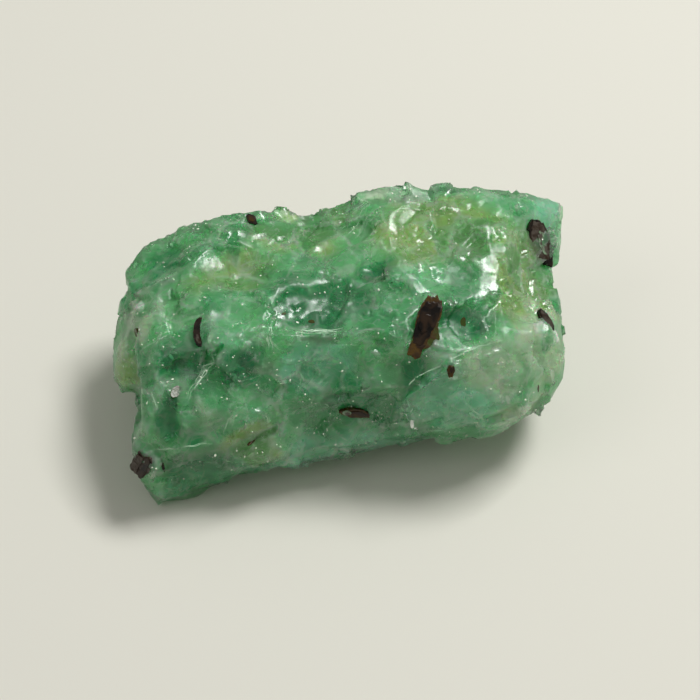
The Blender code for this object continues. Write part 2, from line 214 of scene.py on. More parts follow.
def close_geometry_tree(tree, shape, skin):
    """Ends a tree in real mesh with its material."""
    real = add_node(tree, "GeometryNodeRealizeInstances", {}, {0: shape}).outputs[0]
    skinned = add_node(tree, "GeometryNodeSetMaterial", {}, {"Geometry": real, "Material": skin}).outputs[0]
    add_node(tree, "NodeGroupOutput", {}, {0: skinned})
    return tree


def broken_skin_tree(skin):
    """Geometry Nodes: small fracture scars in two sizes, grain, and how sharp a ridge each spot is on."""
    tree, start = new_geometry_tree("broken skin", [(name, "Float") for name in (
        "Scar Size", "Scar Depth", "Scar Tilt", "Small Scar Size", "Small Scar Depth", "Small Scar Tilt",
        "Calm Size", "Grain Size", "Grain Height", "Lift")])
    place = vector(tree, "SCALE", add_node(tree, "GeometryNodeInputPosition").outputs[0], 1.0 / MM)
    calm = add_node(tree, "ShaderNodeTexNoise", {"noise_dimensions": "3D"},
                    {"Vector": place, "Scale": maths(tree, "DIVIDE", 1.0, start["Calm Size"]), "Detail": 1.0})
    lively = spread(tree, calm.outputs[0], 0.38, 0.58, 0.15, 1.0)
    large = scars(tree, place, start["Scar Size"], start["Scar Depth"], start["Scar Tilt"])
    small = scars(tree, place, start["Small Scar Size"], start["Small Scar Depth"], start["Small Scar Tilt"])
    grain = add_node(tree, "ShaderNodeTexNoise", {"noise_dimensions": "3D"},
                     {"Vector": place, "Detail": 2.0,
                      "Scale": maths(tree, "DIVIDE", 1.0, start["Grain Size"])})
    rough = times(tree, maths(tree, "SUBTRACT", grain.outputs[0], 0.5), start["Grain Height"])
    height = maths(tree, "ADD", maths(tree, "ADD", large, times(tree, small, lively)), rough)
    height = maths(tree, "ADD", height, start["Lift"])
    foot = add_node(tree, "ShaderNodeSeparateXYZ", {}, {0: place}).outputs[2]
    push = vector(tree, "SCALE", add_node(tree, "GeometryNodeInputNormal").outputs[0],
                  times(tree, times(tree, height, spread(tree, foot, 0.05, 0.8)), MM))
    shaped = add_node(tree, "GeometryNodeSetPosition", {},
                      {"Geometry": start["Geometry"], "Offset": push}).outputs[0]
    here = add_node(tree, "GeometryNodeInputPosition").outputs[0]
    smooth = add_node(tree, "GeometryNodeBlurAttribute", {"data_type": "FLOAT_VECTOR"},
                      {"Value": here, "Iterations": 6}).outputs["Value"]
    rise = vector(tree, "DOT_PRODUCT", vector(tree, "SUBTRACT", here, smooth),
                  add_node(tree, "GeometryNodeInputNormal").outputs[0])
    shaped = add_node(tree, "GeometryNodeStoreNamedAttribute", {"data_type": "FLOAT", "domain": "POINT"},
                      {"Geometry": shaped, "Name": "ridge",
                       "Value": maths(tree, "DIVIDE", rise, RIDGE_FULL * MM)}).outputs[0]
    shaped = add_node(tree, "GeometryNodeSetShadeSmooth", {},
                      {"Geometry": shaped, "Shade Smooth": True}).outputs[0]
    return close_geometry_tree(tree, shaped, skin)


def set_inputs(modifier, values):
    """Sets a Geometry Nodes modifier's inputs by the identifiers of their sockets."""
    for item in modifier.node_group.interface.items_tree:
        if item.item_type == "SOCKET" and item.in_out == "INPUT" and item.name in values:
            modifier[item.identifier] = values[item.name]


def grown(thing, tree, values):
    """Runs a Geometry Nodes tree on an object and keeps its plain mesh."""
    modifier = thing.modifiers.new(tree.name, "NODES")
    modifier.node_group = tree
    set_inputs(modifier, values)
    return settled(thing)


def linear(colour):
    """An sRGB hex colour as linear RGBA."""
    parts = [int(colour[i:i + 2], 16) / 255 for i in (1, 3, 5)]
    return (*[c / 12.92 if c <= 0.04045 else ((c + 0.055) / 1.055) ** 2.4 for c in parts], 1.0)


# How the colour grew in: each zone's kind, middle, half widths along X, Y and Z, and strength.
ZONES = {
    "smooth facet": ("deep", (-8.8, 3.6, 7.4), (2.0, 1.8, 1.6), 0.55),
    "left hollow": ("deep", (-8.6, -2.6, 7.3), (1.3, 0.9, 1.0), 1.0),
    "dark band": ("deep", (-9.5, -4.4, 5.5), (0.5, 1.2, 1.5), 1.0),
    "swirl": ("deep", (-8.5, -5.0, 4.8), (1.0, 0.8, 0.8), 0.6),
    "pit": ("deep", (-5.95, -3.5, 7.5), (0.7, 0.7, 0.8), 1.1),
    "pit below": ("deep", (-5.7, -3.9, 6.9), (0.5, 0.5, 0.7), 0.7),
    "left foot": ("deep", (-8.9, -5.4, 2.4), (2.4, 1.2, 1.7), 1.1),
    "dark bowl": ("deep", (-1.8, -0.9, 8.5), (2.4, 1.6, 1.3), 1.1),
    "dark spot": ("deep", (1.2, 0.4, 9.1), (1.0, 0.5, 0.8), 1.5),
    "low middle": ("deep", (-0.9, -5.0, 5.4), (2.2, 1.0, 1.5), 0.8),
    "corner of the lobe": ("deep", (2.0, -4.8, 7.1), (1.0, 0.8, 1.0), 0.8),
    "beside the flake": ("deep", (4.9, -3.0, 8.4), (1.6, 1.0, 0.9), 0.7),
    "left knob": ("milky", (-10.4, 1.2, 7.0), (1.8, 1.7, 1.5), 1.2),
    "knob foot": ("warm", (-11.4, -0.6, 4.8), (1.0, 1.4, 1.4), 0.8),
    "left edge": ("milky", (-10.7, -4.0, 5.0), (0.6, 1.0, 1.4), 0.8),
    "swirl veil": ("milky", (-7.5, -4.8, 5.9), (0.9, 0.8, 0.9), 0.6),
    "bowl rim": ("warm", (-5.6, 1.9, 8.3), (2.8, 2.0, 1.0), 0.6),
    "warm patch": ("warm", (-5.7, -5.4, 3.9), (1.5, 0.9, 1.5), 1.0),
    "fan": ("cool", (-2.2, -3.9, 7.3), (1.9, 1.4, 1.3), 1.2),
    "saddle": ("warm", (-1.6, 4.0, 8.6), (3.4, 2.2, 1.2), 0.6),
    "top": ("warm", (4.6, 2.2, 9.3), (4.4, 3.0, 1.4), 0.7),
    "back of the top": ("milky", (4.0, 5.0, 9.0), (3.6, 1.2, 1.4), 0.6),
    "right face": ("warm", (8.6, -0.6, 8.2), (2.8, 3.6, 2.4), 1.0),
    "right low": ("milky", (8.8, -3.8, 6.6), (2.0, 2.0, 2.6), 0.9),
    "right corner": ("cool", (10.8, 4.4, 7.4), (1.4, 1.6, 1.6), 0.9),
    "lobe": ("cool", (4.4, -5.8, 6.0), (3.0, 1.3, 2.4), 0.9),
    "milky lobe": ("milky", (6.4, -5.2, 7.0), (2.4, 1.4, 2.0), 0.7),
    "lobe foot": ("milky", (7.4, -5.4, 4.4), (2.2, 1.4, 1.6), 0.6),
    "foot of the front": ("cool", (-2.0, -5.5, 2.2), (6.0, 1.2, 1.6), 1.0),
}
ZONE_WAVER = 0.9  # how far the zones' borders wander
ZONE_WAVES = 1.8  # size across of that wandering
ZONE_END = 1.25  # where a zone ends, in half widths
ZONE_BORDER = (0.15, 0.50)  # the shares between which a zone's tone comes in
ZONE_COVER = 0.92
ZONE_SEED = 3
KINDS = ("cool", "warm", "milky", "deep")


def grow_zones(body):
    """Stores on a mesh, for each kind of zone, how strongly each point lies in one."""
    noise.seed_set(ZONE_SEED)
    spots = [v.co / MM for v in body.data.vertices]
    wander = np.array([noise.noise_vector(spot / ZONE_WAVES) for spot in spots]) * ZONE_WAVER
    spots = np.array(spots) + wander
    shares = {}
    for kind in KINDS:
        share = np.zeros(len(spots), np.float32)
        for own, middle, reach, strength in ZONES.values():
            if own == kind:
                away = np.linalg.norm((spots - middle) / np.array(reach), axis=1)
                share = np.maximum(share, strength * np.clip(ZONE_END - away, 0.0, 1.0))
        body.data.attributes.new(kind, "FLOAT", "POINT").data.foreach_set("value", share)
        shares[kind] = share
    return shares


def new_material(name):
    """An empty material, and the place on the object in mm for its patterns."""
    skin = bpy.data.materials.new(name)
    skin.use_nodes = True
    skin.node_tree.nodes.clear()
    place = add_node(skin.node_tree, "ShaderNodeTexCoord").outputs["Object"]
    place = add_node(skin.node_tree, "ShaderNodeMapping", {}, {"Vector": place, "Scale": (1 / MM,) * 3})
    return skin, skin.node_tree, place.outputs[0]


def blend(tree, share, first, second):
    """The first colour going over to the second as the share grows."""
    return add_node(tree, "ShaderNodeMix", {"data_type": "RGBA"}, {0: share, 6: first, 7: second}).outputs[2]


def cloud(tree, place, size, detail=3.0, distortion=0.0, offset=(0.0, 0.0, 0.0), stretch=(1.0, 1.0, 1.0),
          turn=(0.0, 0.0, 0.0)):
    """Noise with clouds of a size in mm, which can be stretched and turned (degrees)."""
    moved = add_node(tree, "ShaderNodeMapping", {},
                     {"Vector": place, "Location": offset, "Scale": stretch,
                      "Rotation": [math.radians(a) for a in turn]}).outputs[0]
    return add_node(tree, "ShaderNodeTexNoise", {"noise_dimensions": "3D"},
                    {"Vector": moved, "Scale": 1.0 / size, "Detail": detail,
                     "Distortion": distortion}).outputs[0]


def lines(tree, value, width):
    """Thin lines where a cloud passes through its middle value."""
    return spread(tree, maths(tree, "ABSOLUTE", maths(tree, "SUBTRACT", value, 0.5)), width, 0.0)


def facets(tree, place, size, offset, stretch=(1.0, 1.0, 1.0)):
    """Heights of small flat faces, each leaning its own way."""
    moved = add_node(tree, "ShaderNodeMapping", {},
                     {"Vector": place, "Location": offset, "Scale": stretch}).outputs[0]
    cell = add_node(tree, "ShaderNodeTexVoronoi", {"voronoi_dimensions": "3D", "feature": "F1"},
                    {"Vector": moved, "Scale": 1.0 / size})
    return vector(tree, "DOT_PRODUCT", vector(tree, "SUBTRACT", moved, cell.outputs["Position"]),
                  vector(tree, "SUBTRACT", cell.outputs["Color"], (0.5, 0.5, 0.5)))


def stored(tree, name):
    """What is stored on the mesh under a name."""
    return add_node(tree, "ShaderNodeAttribute", {"attribute_name": name}).outputs["Fac"]


def cells(tree, place, size, offset, waver):
    """Crooked cells such as cracks leave: how far a spot is from its cell's edge, and the cell's draw."""
    sway = add_node(tree, "ShaderNodeTexNoise", {"noise_dimensions": "3D"},
                    {"Vector": place, "Scale": 0.9 / size, "Detail": 3.0}).outputs["Color"]
    sway = vector(tree, "SCALE", vector(tree, "SUBTRACT", sway, (0.5, 0.5, 0.5)), waver)
    moved = vector(tree, "ADD", vector(tree, "ADD", place, sway), offset)
    inputs = {"Vector": moved, "Scale": 1.0 / size}
    edge = add_node(tree, "ShaderNodeTexVoronoi",
                    {"voronoi_dimensions": "3D", "feature": "DISTANCE_TO_EDGE"}, inputs)
    cell = add_node(tree, "ShaderNodeTexVoronoi", {"voronoi_dimensions": "3D", "feature": "F1"}, inputs)
    own = add_node(tree, "ShaderNodeSeparateXYZ", {}, {0: cell.outputs["Color"]}).outputs[0]
    return edge.outputs["Distance"], own


def veins(tree, place):
    """Pale seams between the cells, in two sizes, that come and go."""
    wide, first = cells(tree, place, 1.9, (3.0, 1.0, 7.0), 1.5)
    narrow, second = cells(tree, place, 0.8, (1.0, 5.0, 2.0), 0.7)
    here = spread(tree, cloud(tree, place, 1.6, 3.0, 0.0, (2.0, 2.0, 9.0)), 0.38, 0.60)
    there = spread(tree, cloud(tree, place, 1.1, 3.0, 0.0, (8.0, 2.0, 3.0)), 0.42, 0.62)
    seams = maths(tree, "MAXIMUM", times(tree, spread(tree, wide, 0.11, 0.0), here),
                  times(tree, spread(tree, narrow, 0.09, 0.0), times(tree, there, 0.8)))
    return seams, first, second


def zone_colour(tree, base, tones, mottle):
    """The colours of the zones, laid over each other with borders broken up by a mottle."""
    uneven = times(tree, maths(tree, "SUBTRACT", mottle, 0.5), 1.5)
    colour = base
    for kind in KINDS:
        share = maths(tree, "MULTIPLY_ADD", uneven, stored(tree, kind), stored(tree, kind))
        cover = times(tree, spread(tree, share, *ZONE_BORDER), ZONE_COVER)
        colour = blend(tree, cover, colour, tones[kind])
    return colour


SKIN_TONES = {"cool": linear("#b4f0d0"), "warm": linear("#cfe29a"), "milky": linear("#e2f4d8"),
              "deep": linear("#1cbc74")}
SKIN_BODY = linear("#a2e8ae")
# White of the veils, also used for painted light on ridges and painted sparkle.
VEIL_AND_PAINTED_LIGHT_WHITE = linear("#f6fbf0")
CLOUD_TONES = {"cool": linear("#a8f0d0"), "warm": linear("#c4e298"), "milky": linear("#e8f8dc"),
               "deep": linear("#06a056")}
CLOUD_BODY = linear("#96e2a8")
SKIN_SEE_THROUGH = 0.84
BERYL_IOR = 1.58
BERYL_TINT = (0.10, 0.84, 0.48, 1.0)
BERYL_DENSITY = 280.0


def skin_material():
    """The beryl's clear skin: white veils just under it, painted light on its sharp ridges, small faces and
    steps on it.
    """
    skin, tree, place = new_material("emerald beryl, clear and broken like glass")
    ridge = stored(tree, "ridge")
    mottle = cloud(tree, place, 1.1, 4.0, 0.8)
    fine = cloud(tree, place, 0.45, 3.0, 0.5, (3.0, 7.0, 1.0))
    colour = zone_colour(tree, SKIN_BODY, SKIN_TONES, mottle)
    # Painted light: sharp ridges made paler, standing for light showing through thin edges.
    edge = times(tree, spread(tree, ridge, 0.08, 0.7), spread(tree, fine, 0.40, 0.62, 0.0, 0.8))
    wide = cloud(tree, place, 1.5, 3.0, 1.6, (5.0, 2.0, 9.0), (0.6, 1.0, 1.0), (0, 20, 30))
    wisps = times(tree, lines(tree, wide, 0.018),
                  spread(tree, cloud(tree, place, 2.4, 2.0, 0.0, (9.0, 4.0, 1.0)), 0.42, 0.60))
    narrow = cloud(tree, place, 0.8, 2.0, 2.2, (1.0, 8.0, 4.0), (1.0, 0.5, 1.0), (30, 0, -25))
    threads = times(tree, lines(tree, narrow, 0.02),
                    spread(tree, cloud(tree, place, 1.8, 2.0, 0.0, (2.0, 4.0, 8.0)), 0.45, 0.62))
    seams, first, second = veins(tree, place)
    white = maths(tree, "MAXIMUM", edge, times(tree, maths(tree, "MAXIMUM", wisps, threads), 0.8))
    white = maths(tree, "MAXIMUM", white, times(tree, seams, 0.8))
    colour = blend(tree, times(tree, spread(tree, first, 0.45, 0.75), 0.5), colour, SKIN_TONES["deep"])
    white = times(tree, white, spread(tree, stored(tree, "deep"), 0.1, 0.8, 1.0, 0.3))
    colour = blend(tree, white, colour, VEIL_AND_PAINTED_LIGHT_WHITE)
    heights = maths(tree, "ADD", facets(tree, place, 1.0, (2.0, 0.0, 5.0)),
                    facets(tree, place, 0.42, (0.0, 4.0, 1.0), (0.7, 1.0, 1.0)))
    heights = maths(tree, "ADD", heights, times(tree, maths(tree, "SUBTRACT", fine, 0.5), 0.2))
    calm = spread(tree, stored(tree, "deep"), 0.1, 0.8, 1.0, 0.35)
    bump = add_node(tree, "ShaderNodeBump", {}, {"Height": heights, "Distance": 0.10 * MM, "Strength": calm})
    dull = spread(tree, cloud(tree, place, 1.3, 3.0, 0.4, (3.0, 3.0, 3.0)), 0.38, 0.62)
    shader = add_node(tree, "ShaderNodeBsdfPrincipled", {}, {
        "Base Color": colour, "Roughness": maths(tree, "MULTIPLY_ADD", dull, 0.22, 0.20), "IOR": BERYL_IOR,
        "Transmission Weight": SKIN_SEE_THROUGH, "Normal": bump.outputs[0]})
    absorb = add_node(tree, "ShaderNodeVolumeAbsorption", {}, {"Color": BERYL_TINT, "Density": BERYL_DENSITY})
    add_node(tree, "ShaderNodeOutputMaterial", {},
             {"Surface": shader.outputs[0], "Volume": absorb.outputs[0]})
    return skin


beryl = grown(whole_body(), broken_skin_tree(skin_material()), {
    "Scar Size": 1.9, "Scar Depth": 0.10, "Scar Tilt": 0.34, "Small Scar Size": 0.7, "Small Scar Depth": 0.03,
    "Small Scar Tilt": 0.26, "Calm Size": 3.0, "Grain Size": 0.30, "Grain Height": 0.02, "Lift": 0.05})
grow_zones(beryl)
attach(beryl, "root")
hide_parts("emerald")
beryl_tree = BVHTree.FromObject(beryl, bpy.context.evaluated_depsgraph_get())

# ---- The clouds inside
# Real: the middle of the stone is no clearer than ice full of cracks. Countless healed cracks and tiny
# drops scatter the light, close under the skin where it looks milky and deep where it looks dark and clear.

CLOUD_DEPTH = 0.32  # how far under the skin the clouds begin
CLOUD_BAND = 1.5  # width of the band in which the inside is measured
CLOUD_GRAIN = 0.2  # size of the cells in which it is measured
DEEPER, SHALLOWER = 1.1, 0.25  # change of that depth in deep and in milky zones
CLOUD_SWELL = 0.25  # how far the clouds swell and sink by themselves, in waves of the next two sizes
SWELL_WIDE, SWELL_NARROW = 1.3, 0.5


def cloud_tree(skin):
    """Geometry Nodes: the form at an even depth inside the skin."""
    tree, start = new_geometry_tree("clouds inside", [
        ("Depth", "Float"), ("Band", "Float"), ("Grain", "Float")])
    filled = add_node(tree, "GeometryNodeMeshToVolume", {"resolution_mode": "VOXEL_SIZE"},
                      {"Mesh": start["Geometry"], "Density": 1.0, "Voxel Size": start["Grain"],
                       "Interior Band Width": start["Band"]}).outputs[0]
    inner = add_node(tree, "GeometryNodeVolumeToMesh", {"resolution_mode": "VOXEL_SIZE"},
                     {"Volume": filled, "Voxel Size": start["Grain"],
                      "Threshold": maths(tree, "DIVIDE", start["Depth"], start["Band"])}).outputs[0]
    even = add_node(tree, "GeometryNodeBlurAttribute", {"data_type": "FLOAT_VECTOR"},
                    {"Value": add_node(tree, "GeometryNodeInputPosition").outputs[0],
                     "Iterations": 4}).outputs["Value"]
    calmed = add_node(tree, "GeometryNodeSetPosition", {}, {"Geometry": inner, "Position": even}).outputs[0]
    calmed = add_node(tree, "GeometryNodeSetShadeSmooth", {},
                      {"Geometry": calmed, "Shade Smooth": True}).outputs[0]
    return close_geometry_tree(tree, calmed, skin)


def sink_clouds(clouds):
    """Moves the clouds deeper in the deep zones and up under the skin in the milky ones."""
    shares = grow_zones(clouds)
    spots = [v.co.copy() for v in clouds.data.vertices]
    outs = [v.normal.copy() for v in clouds.data.vertices]
    placed = []
    for spot, out, deep, milky in zip(spots, outs, shares["deep"], shares["milky"]):
        swell = noise.noise(spot / (SWELL_WIDE * MM)) + 0.5 * noise.noise(spot / (SWELL_NARROW * MM))
        swell *= CLOUD_SWELL
        placed.extend(spot - out * ((DEEPER * deep - SHALLOWER * milky - swell) * MM))
    clouds.data.vertices.foreach_set("co", placed)
    clouds.data.update()


def cloud_material():
    """The clouds: body and zones, darker clear cells, white seams, white flecks painted as sparkle, light
    spread inside.
    """
    skin, tree, place = new_material("healed cracks and drops in the beryl, cloudy green")
    mottle = cloud(tree, place, 1.1, 4.0, 0.8)
    cool = spread(tree, cloud(tree, place, 3.6, 3.0, 0.8), 0.40, 0.64)
    body = blend(tree, cool, CLOUD_BODY, CLOUD_TONES["cool"])
    colour = zone_colour(tree, body, CLOUD_TONES, mottle)
    seams, first, second = veins(tree, place)
    dark = maths(tree, "MAXIMUM", spread(tree, first, 0.45, 0.85),
                 times(tree, spread(tree, second, 0.5, 0.8), 0.7))
    colour = blend(tree, times(tree, dark, 0.6), colour, CLOUD_TONES["deep"])
    colour = blend(tree, times(tree, seams, 0.8), colour, VEIL_AND_PAINTED_LIGHT_WHITE)
    # Painted sparkle: white flecks that stand for the glints of tiny facets.
    flecks = cloud(tree, place, 0.5, 4.0, 0.8, (1.0, 5.0, 3.0), (0.6, 1.0, 1.0), (0, 30, 20))
    light = spread(tree, flecks, 0.56, 0.70)
    colour = blend(tree, times(tree, light, 0.6), colour, VEIL_AND_PAINTED_LIGHT_WHITE)
    bump = add_node(tree, "ShaderNodeBump", {}, {"Height": cloud(tree, place, 0.4, 4.0, 0.5),
                                                 "Distance": 0.1 * MM, "Strength": 1.0})
    shader = add_node(tree, "ShaderNodeBsdfPrincipled", {}, {
        "Base Color": colour, "Roughness": 0.6, "Specular IOR Level": 0.1, "Subsurface Weight": 1.0,
        "Subsurface Radius": (0.35, 1.0, 0.55), "Subsurface Scale": 2.2 * MM, "Normal": bump.outputs[0]})
    add_node(tree, "ShaderNodeOutputMaterial", {}, {"Surface": shader.outputs[0]})
    return skin


def skin_copy(name):
    """Links a copy of the beryl's skin, for something to be grown from."""
    made = bpy.data.objects.new(name, beryl.data.copy())
    bpy.context.scene.collection.objects.link(made)
    return made


clouds = skin_copy("beryl_clouds")
grown(clouds, cloud_tree(cloud_material()), {"Depth": CLOUD_DEPTH * MM, "Band": CLOUD_BAND * MM,
                                             "Grain": CLOUD_GRAIN * MM})
sink_clouds(clouds)
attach(clouds, "root")

# ---- The veils
# Real: single healed cracks nearer the skin. Where one stands on edge it shows as a fine white line, and
# where it turns to the light it glints.


def veil_tree(skin):
    """Geometry Nodes: thin curved shards strewn under the skin, most of them standing on edge."""
    tree, start = new_geometry_tree("veils", [
        ("Density", "Float"), ("Smallest", "Float"), ("Largest", "Float"), ("Thickness", "Float"),
        ("Sunk", "Float"), ("Seed", "Int")])
    here = vector(tree, "SCALE", add_node(tree, "GeometryNodeInputPosition").outputs[0], 1.0 / MM)
    foot = add_node(tree, "ShaderNodeSeparateXYZ", {}, {0: here}).outputs[2]
    flocks = add_node(tree, "ShaderNodeTexNoise", {},
                      {"Vector": here, "Scale": 0.45, "Detail": 2.0}).outputs[0]
    often = times(tree, spread(tree, flocks, 0.40, 0.62, 0.15, 1.0), spread(tree, foot, 0.8, 1.6))
    spots = add_node(tree, "GeometryNodeDistributePointsOnFaces", {},
                     {"Mesh": start["Geometry"], "Density": times(tree, start["Density"], often),
                      "Seed": start["Seed"]})
    shard = add_node(tree, "GeometryNodeMeshCylinder", {"fill_type": "TRIANGLE_FAN"},
                     {"Vertices": 9, "Radius": 0.5 * MM, "Depth": 1.0 * MM})
    stand = add_node(tree, "FunctionNodeAlignRotationToVector", {"axis": "Y"},
                     {"Vector": spots.outputs["Normal"]}).outputs[0]
    turn = add_node(tree, "FunctionNodeRandomValue", {"data_type": "FLOAT_VECTOR"},
                    {"Min": (-0.7, -3.1, -0.7), "Max": (0.7, 3.1, 0.7), "Seed": start["Seed"]}).outputs[0]
    turned = add_node(tree, "FunctionNodeRotateRotation", {"rotation_space": "LOCAL"},
                      {0: stand, 1: turn}).outputs[0]
    size = add_node(tree, "FunctionNodeRandomValue", {"data_type": "FLOAT"},
                    {2: start["Smallest"], 3: start["Largest"], "Seed": start["Seed"]}).outputs[1]
    scale = add_node(tree, "ShaderNodeCombineXYZ", {}, {0: size, 1: times(tree, size, 0.45),
                                                        2: start["Thickness"]}).outputs[0]
    sink = times(tree, maths(tree, "MULTIPLY_ADD", size, 0.225, start["Sunk"]), -MM)
    depth = vector(tree, "SCALE", spots.outputs["Normal"], sink)
    placed = add_node(tree, "GeometryNodeInstanceOnPoints", {},
                      {"Points": spots.outputs["Points"], "Instance": shard.outputs["Mesh"],
                       "Rotation": turned, "Scale": scale}).outputs[0]
    sunk = add_node(tree, "GeometryNodeTranslateInstances", {},
                    {"Instances": placed, "Translation": depth, "Local Space": False}).outputs[0]
    real = add_node(tree, "GeometryNodeRealizeInstances", {}, {0: sunk}).outputs[0]
    spot = add_node(tree, "GeometryNodeInputPosition").outputs[0]
    sway = add_node(tree, "ShaderNodeTexNoise", {},
                    {"Vector": spot, "Scale": 1.6 / MM, "Detail": 1.0}).outputs["Color"]
    sway = vector(tree, "SCALE", vector(tree, "SUBTRACT", sway, (0.5, 0.5, 0.5)), 0.3 * MM)
    bent = add_node(tree, "GeometryNodeSetPosition", {}, {"Geometry": real, "Offset": sway}).outputs[0]
    return close_geometry_tree(tree, bent, skin)


def plain_material(name, colour, roughness, **more):
    """A material of one colour."""
    skin = bpy.data.materials.new(name)
    skin.use_nodes = True
    shader = skin.node_tree.nodes["Principled BSDF"]
    for socket, value in {"Base Color": colour, "Roughness": roughness, **more}.items():
        shader.inputs[socket].default_value = value
    return skin


veil_skin = plain_material("healed crack in beryl", VEIL_AND_PAINTED_LIGHT_WHITE, 0.3)
veils = skin_copy("veils")
grown(veils, veil_tree(veil_skin), {"Density": 3.0e6, "Smallest": 0.12, "Largest": 0.5, "Thickness": 0.012,
                                    "Sunk": 0.11, "Seed": 4})
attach(veils, "root")

# ---- The seams and splinters
# Real: cracks that reach the skin show as fine pale lines, singly or in sprays, and minute splinters of
# beryl still sit in the steps of the break, white because they are crushed. Two bunches of pale strands
# are painted glints rather than cracks, and the splinters' white is partly painted sparkle.

# Each seam: the places that it runs through, how many strands, how far they stray and how wide they are.
SEAMS_AND_PAINTED_GLINTS = {
    "ridge under the curved flake": (
        [(-6.7, -2.65, 8.18), (-7.81, -3.48, 7.0), (-8.93, -4.5, 6.04)], 5, 0.16, 0.05),
    "ridge up to the right": (
        [(-6.7, -2.65, 8.18), (-5.61, -2.49, 8.6), (-5.18, -1.8, 8.82)], 4, 0.12, 0.035),
    "beside the curved flake": (
        [(-6.7, -2.65, 8.18), (-7.1, -1.9, 8.3), (-7.18, -1.46, 8.35)], 3, 0.10, 0.035),
    "spray left of the flake": (
        [(-8.82, -0.7, 7.78), (-7.8, -0.6, 8.2), (-6.86, -0.83, 8.53)], 9, 0.40, 0.018),
    "spray right of the flake": (
        [(-6.5, -1.3, 8.5), (-5.9, -1.6, 8.6), (-5.2, -1.7, 8.8)], 10, 0.55, 0.020),
    "short bar": ([(-6.22, -3.82, 7.03), (-4.55, -3.85, 7.04)], 2, 0.06, 0.030),
    "band round the knob": (
        [(-10.53, -1.15, 6.83), (-9.51, -1.28, 7.62), (-8.58, -0.78, 7.83)], 5, 0.20, 0.035),
    "pale band": ([(-5.64, -4.07, 6.77), (-6.52, -4.97, 5.68), (-6.94, -5.26, 4.66)], 6, 0.16, 0.040),
    "fan streaks": ([(-2.24, -4.45, 6.57), (-1.29, -4.01, 7.29)], 10, 0.55, 0.018),
    "scar rim": ([(-6.15, 1.16, 8.37), (-5.55, 0.84, 8.4), (-4.69, 1.18, 8.24)], 5, 0.25, 0.022),
    "left foot arc": (
        [(-10.76, -4.52, 4.64), (-10.47, -5.0, 4.02), (-8.8, -5.5, 4.56), (-7.2, -5.38, 4.4)],
        4, 0.10, 0.035),
    "spray on the top": ([(0.16, 2.81, 8.56), (1.96, 4.34, 9.26)], 14, 0.75, 0.024),
    "spray behind it": ([(0.67, 4.47, 8.7), (1.89, 5.11, 9.28)], 9, 0.50, 0.026),
    "top left": ([(-6.54, 4.24, 8.53), (-4.87, 3.11, 8.72)], 6, 0.40, 0.022),
    "swirl": ([(2.5, 1.91, 9.27), (2.8, 0.26, 9.39), (2.3, -0.62, 9.29)], 9, 0.45, 0.022),
    "edge of the lobe": (
        [(1.49, -5.07, 5.92), (2.59, -5.01, 7.23), (4.85, -4.65, 8.09), (6.26, -4.32, 8.33)], 3, 0.05, 0.045),
    "step on the lobe": ([(4.65, -6.16, 5.88), (5.41, -6.41, 5.28), (5.91, -5.85, 2.8)], 3, 0.05, 0.030),
    "right of the flake": ([(6.65, -3.03, 8.68), (6.36, -4.54, 8.19)], 4, 0.20, 0.025),
    # Painted glints: the next two are bunched pale strands that stand for highlights on the ridge.
    "painted glint, upright": ([(-4.37, -3.17, 8.14), (-4.4, -2.7, 8.6), (-4.32, -2.22, 8.86)], 9, 0.16, 0.045),
    "painted glint strip": ([(-3.1, -2.42, 8.45), (-0.71, -2.73, 8.57)], 12, 0.22, 0.040),
    "left bar": ([(-10.19, -3.02, 6.45), (-9.95, -4.62, 5.31)], 4, 0.15, 0.030),
    "warm patch rim": ([(-5.0, -4.51, 6.12), (-4.55, -5.31, 3.92)], 5, 0.22, 0.025),
}
SEAM_STEP = 0.12  # spacing of the points along a strand
SEAM_WAVER = 0.10  # how far a strand strays from its line, in waves of the next size
SEAM_WAVES = 0.5
SEAM_RISE = 0.35  # height over the skin, in half widths
SEAM_TIP = 0.15  # width at the tips, as a share of the full width
SEAM_SEED = 8


def on_skin(at):
    """The nearest place on the beryl's skin, in mm, and the way it faces."""
    spot, normal, _, _ = beryl_tree.find_nearest(Vector(at) * MM)
    return spot / MM, normal


def add_strand(form, places, width, ends, shift):
    """Adds one pale thread on the skin, closed, thickest in its middle."""
    length = sum((b - a).length for a, b in zip(places, places[1:]))
    steps = max(4, int(length * (ends[1] - ends[0]) / SEAM_STEP))
    spots = []
    for i in range(steps + 1):
        share = (ends[0] + (ends[1] - ends[0]) * i / steps) * (len(places) - 1)
        near = min(int(share), len(places) - 2)
        at = places[near].lerp(places[near + 1], share - near) + shift
        spots.append(on_skin(at + noise.noise_vector(at / SEAM_WAVES) * SEAM_WAVER))
    rings = []
    for i, (spot, out) in enumerate(spots):
        run = spots[min(i + 1, steps)][0] - spots[max(i - 1, 0)][0]
        side = run.cross(out).normalized()
        half = width / 2 * (SEAM_TIP + (1 - SEAM_TIP) * math.sin(math.pi * i / steps))
        ways = (side * half, out * half * SEAM_RISE, side * -half, out * -half)
        rings.append([form.verts.new((spot + way) * MM) for way in ways])
    for near, far in zip(rings, rings[1:]):
        for i in range(4):
            j = (i + 1) % 4
            form.faces.new((near[i], near[j], far[j], far[i]))
    form.faces.new(rings[0])
    form.faces.new(rings[-1])


chance = random.Random(SEAM_SEED)
noise.seed_set(ZONE_SEED)
form = bmesh.new()
for places, strands, stray, width in SEAMS_AND_PAINTED_GLINTS.values():
    places = [Vector(place) for place in places]
    for _ in range(strands):
        shift = Vector([chance.gauss(0.0, stray / 2) for _ in range(3)])
        start = chance.uniform(0.0, 0.5) if strands > 3 else 0.0
        own_width = width * chance.uniform(0.3, 0.8)
        ends = (start, chance.uniform(start + 0.3, 1.0))
        add_strand(form, places, own_width, ends, shift)
bmesh.ops.recalc_face_normals(form, faces=form.faces)
# The pale threads, with the painted glints among them.
seams = mesh_object("seams", form)
seams.data.materials.append(plain_material("cracks that reach the skin and painted glints, pale", linear("#cfeccf"), 0.35))
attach(seams, "root")


